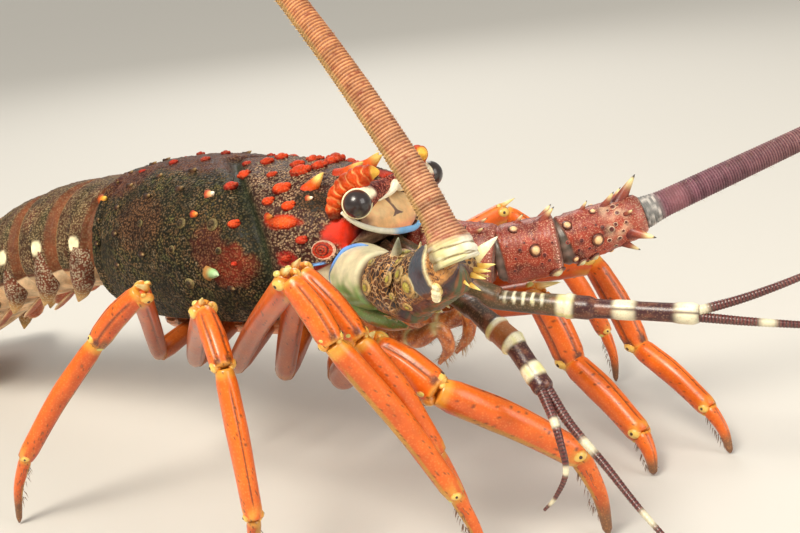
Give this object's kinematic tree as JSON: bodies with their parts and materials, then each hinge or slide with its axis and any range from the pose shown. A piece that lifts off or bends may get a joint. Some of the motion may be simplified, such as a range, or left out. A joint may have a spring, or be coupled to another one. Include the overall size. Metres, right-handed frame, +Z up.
{
  "type": "spiny lobster",
  "caption": "Life-size still model of a spiny lobster standing on its legs, with a spiny carapace, long ringed feelers, jointed belly and spread tail fan.",
  "frame": {"origin": "centre of the whole model's box on the floor that the feet stand on, the box taken out to the tips of the feelers", "axes": "+X the way the head points, +Y to the animal's left, +Z up"},
  "size_m": [0.6076, 0.3878, 0.3391],
  "materials": {
    "shell": "granular horny shell, satin, brown-maroon with orange tubercles",
    "cream_shell": "smooth satin shell, cream with orange marks",
    "face_shell": "smooth satin shell, peach and cream",
    "eye_surface": "glossy black-brown cornea",
    "leg_shell": "satin shell, bright orange with red-brown grooves",
    "antenna_shell": "satin spiny shell, maroon with cream netting",
    "whip_shell": "ringed and spinuled, satin, pink-brown to violet",
    "antennule_shell": "thin satin shell, dark maroon with cream bands"
  },
  "bodies": {
    "root": {"abdomen_1": "shell", "abdomen_2": "shell", "abdomen_3": "shell", "abdomen_4": "shell", "abdomen_5": "shell", "abdomen_6": "shell", "antenna_L_segment1": "antenna_shell", "antenna_L_segment2": "antenna_shell", "antenna_L_segment3": "antenna_shell", "antenna_L_whip1": "whip_shell", "antenna_L_whip2": "whip_shell", "antenna_L_whip3": "whip_shell", "antenna_R_segment1": "antenna_shell", "antenna_R_segment2": "antenna_shell", "antenna_R_segment3": "antenna_shell", "antenna_R_whip1": "whip_shell", "antenna_R_whip2": "whip_shell", "antenna_R_whip3": "whip_shell", "antennule_L_inner": "antennule_shell", "antennule_L_outer": "antennule_shell", "antennule_L_stem": "antennule_shell", "antennule_R_inner": "antennule_shell", "antennule_R_outer": "antennule_shell", "antennule_R_stem": "antennule_shell", "carapace": "shell", "epistome": "cream_shell", "eye_L": "eye_surface", "eye_R": "eye_surface", "eyestalk_L": "face_shell", "eyestalk_R": "face_shell", "face_plate": "face_shell", "leg_L1_shin": "leg_shell", "leg_L1_thigh": "leg_shell", "leg_L2_shin": "leg_shell", "leg_L2_thigh": "leg_shell", "leg_L3_shin": "leg_shell", "leg_L3_thigh": "leg_shell", "leg_L4_shin": "leg_shell", "leg_L4_thigh": "leg_shell", "leg_L5_shin": "leg_shell", "leg_L5_thigh": "leg_shell", "leg_R1_shin": "leg_shell", "leg_R1_thigh": "leg_shell", "leg_R2_shin": "leg_shell", "leg_R2_thigh": "leg_shell", "leg_R3_shin": "leg_shell", "leg_R3_thigh": "leg_shell", "leg_R4_shin": "leg_shell", "leg_R4_thigh": "leg_shell", "leg_R5_shin": "leg_shell", "leg_R5_thigh": "leg_shell", "maxilliped_L": "leg_shell", "maxilliped_R": "leg_shell", "sternum": "cream_shell", "telson": "shell", "uropod_L_inner": "shell", "uropod_L_outer": "shell", "uropod_R_inner": "shell", "uropod_R_outer": "shell"}
  },
  "joints": []
}
